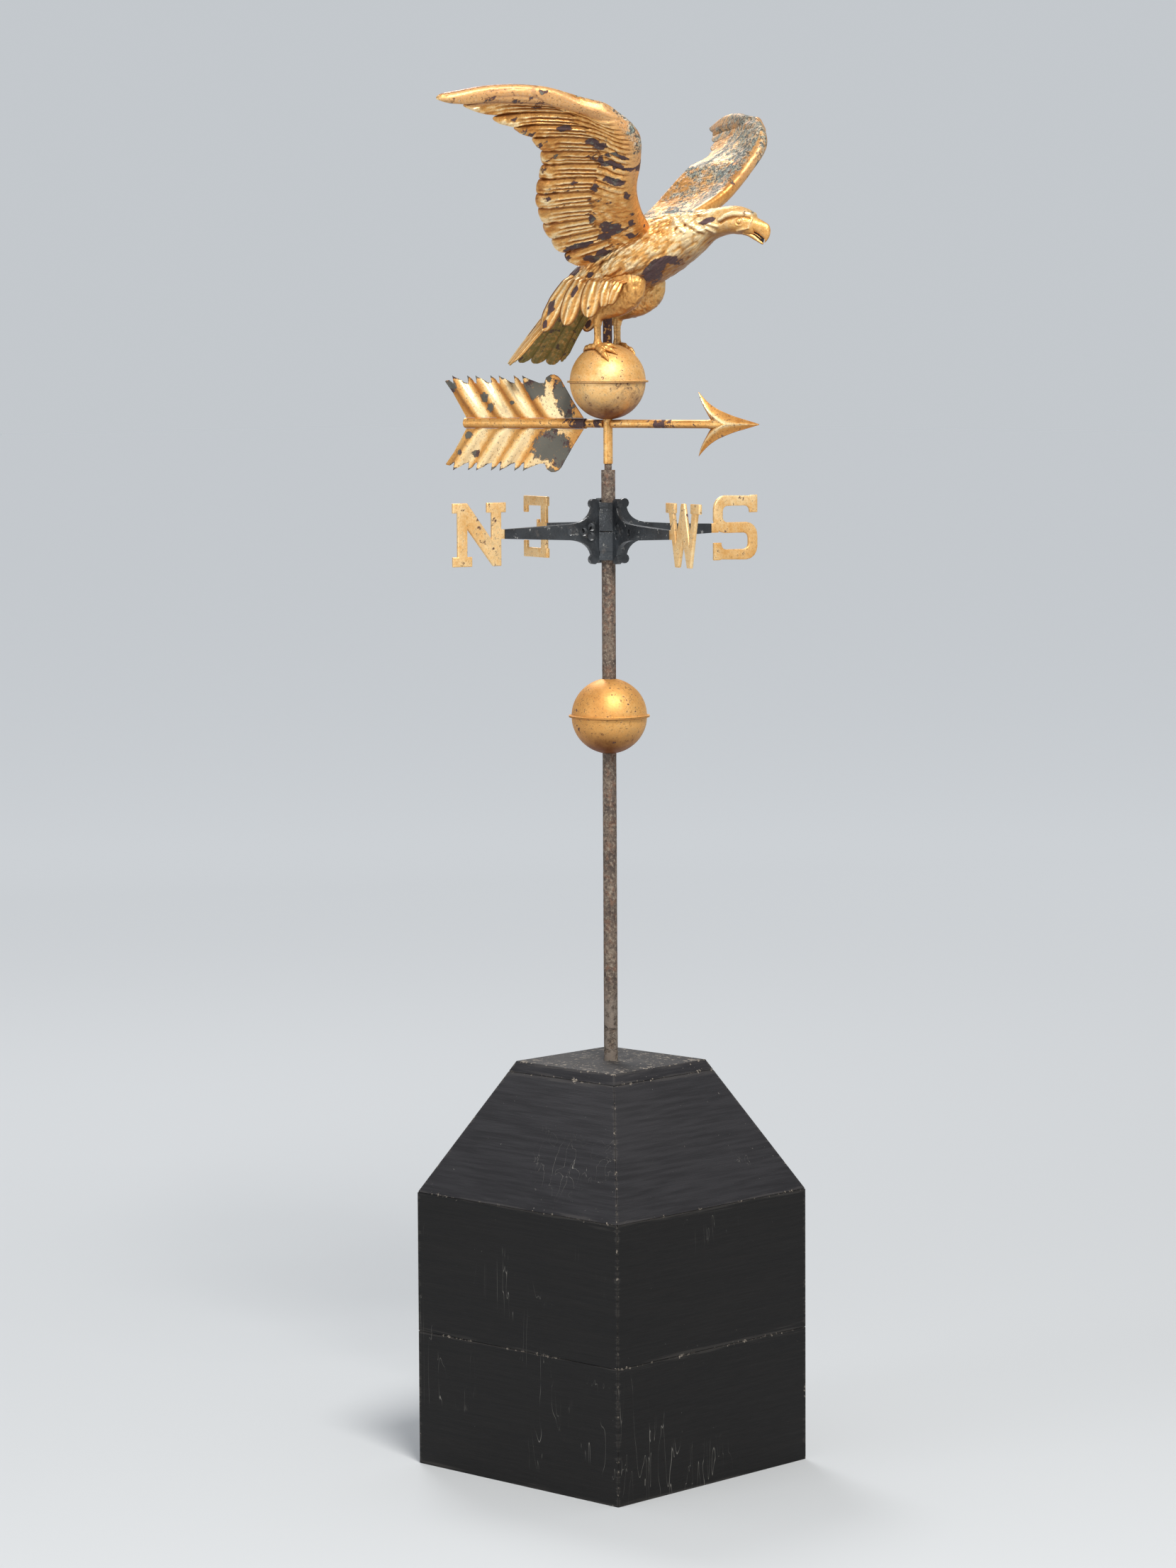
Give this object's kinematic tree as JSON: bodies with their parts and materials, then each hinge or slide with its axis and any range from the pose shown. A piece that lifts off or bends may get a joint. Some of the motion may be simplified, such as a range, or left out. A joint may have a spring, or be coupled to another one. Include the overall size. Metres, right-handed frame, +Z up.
{
  "type": "eagle weathervane",
  "caption": "Gilded full-bodied eagle weathervane with spread wings, arrow, globes and N E S W directionals, on an iron mast in a square wooden display base.",
  "frame": {"origin": "bottom centre of the square display base, on the mast's axis", "axes": "+Z up along the mast, X and Y along the sides of the box; at rest the arrow and the eagle head 13.5 degrees from +X towards +Y"},
  "size_m": [0.5296, 0.7658, 1.983],
  "materials": {
    "box_wood": "matt near-black stained wood, brushed, scuffed at the edges",
    "cap_wood": "matt charcoal stained wood, worn pale at the edges",
    "rusty_pipe": "rough rusty brown-grey iron",
    "black_iron": "semi-gloss black paint on cast iron, worn at the edges",
    "steel": "turned steel, dull",
    "gilt_copper": "worn gold leaf over copper, with bare brown and green patina patches"
  },
  "bodies": {
    "stand": {"arm_east": "black_iron", "arm_north": "black_iron", "arm_south": "black_iron", "arm_west": "black_iron", "base_floor_board": "box_wood", "box_lower_board_1": "box_wood", "box_lower_board_2": "box_wood", "box_lower_board_3": "box_wood", "box_lower_board_4": "box_wood", "box_upper_board_1": "box_wood", "box_upper_board_2": "box_wood", "box_upper_board_3": "box_wood", "box_upper_board_4": "box_wood", "cap_panel_1": "cap_wood", "cap_panel_2": "cap_wood", "cap_panel_3": "cap_wood", "cap_panel_4": "cap_wood", "cap_top_plate": "cap_wood", "flange_screw_1": "steel", "flange_screw_2": "steel", "flange_screw_3": "steel", "flange_screw_4": "steel", "hub_lower_collar": "black_iron", "hub_upper_collar": "black_iron", "letter_e": "gilt_copper", "letter_n": "gilt_copper", "letter_s": "gilt_copper", "letter_w": "gilt_copper", "lower_globe_bottom_half": "gilt_copper", "lower_globe_top_half": "gilt_copper", "lower_set_screw": "black_iron", "mast_floor_flange": "black_iron", "mast_pipe": "rusty_pipe", "mast_top_bush": "rusty_pipe", "spindle_rod": "steel", "upper_set_screw": "black_iron"},
    "vane": {"arrow_front_shaft": "gilt_copper", "arrow_head": "gilt_copper", "arrow_rear_shaft": "gilt_copper", "bearing_cup": "steel", "eagle_body_left": "gilt_copper", "eagle_body_right": "gilt_copper", "fletching_lower": "gilt_copper", "fletching_sleeve": "gilt_copper", "fletching_upper": "gilt_copper", "left_flank_feathers": "gilt_copper", "left_leg": "gilt_copper", "left_wing_lower_skin": "gilt_copper", "left_wing_upper_skin": "gilt_copper", "right_flank_feathers": "gilt_copper", "right_leg": "gilt_copper", "right_wing_lower_skin": "gilt_copper", "right_wing_upper_skin": "gilt_copper", "tail_fan": "gilt_copper", "upper_globe_bottom_half": "gilt_copper", "upper_globe_top_half": "gilt_copper", "vane_tube": "gilt_copper"}
  },
  "joints": [
    {"name": "vane_spin", "type": "hinge", "parent": "stand", "child": "vane", "pos_m": [0, 0, 1.5], "axis": [0, 0, 1], "continuous": true}
  ]
}
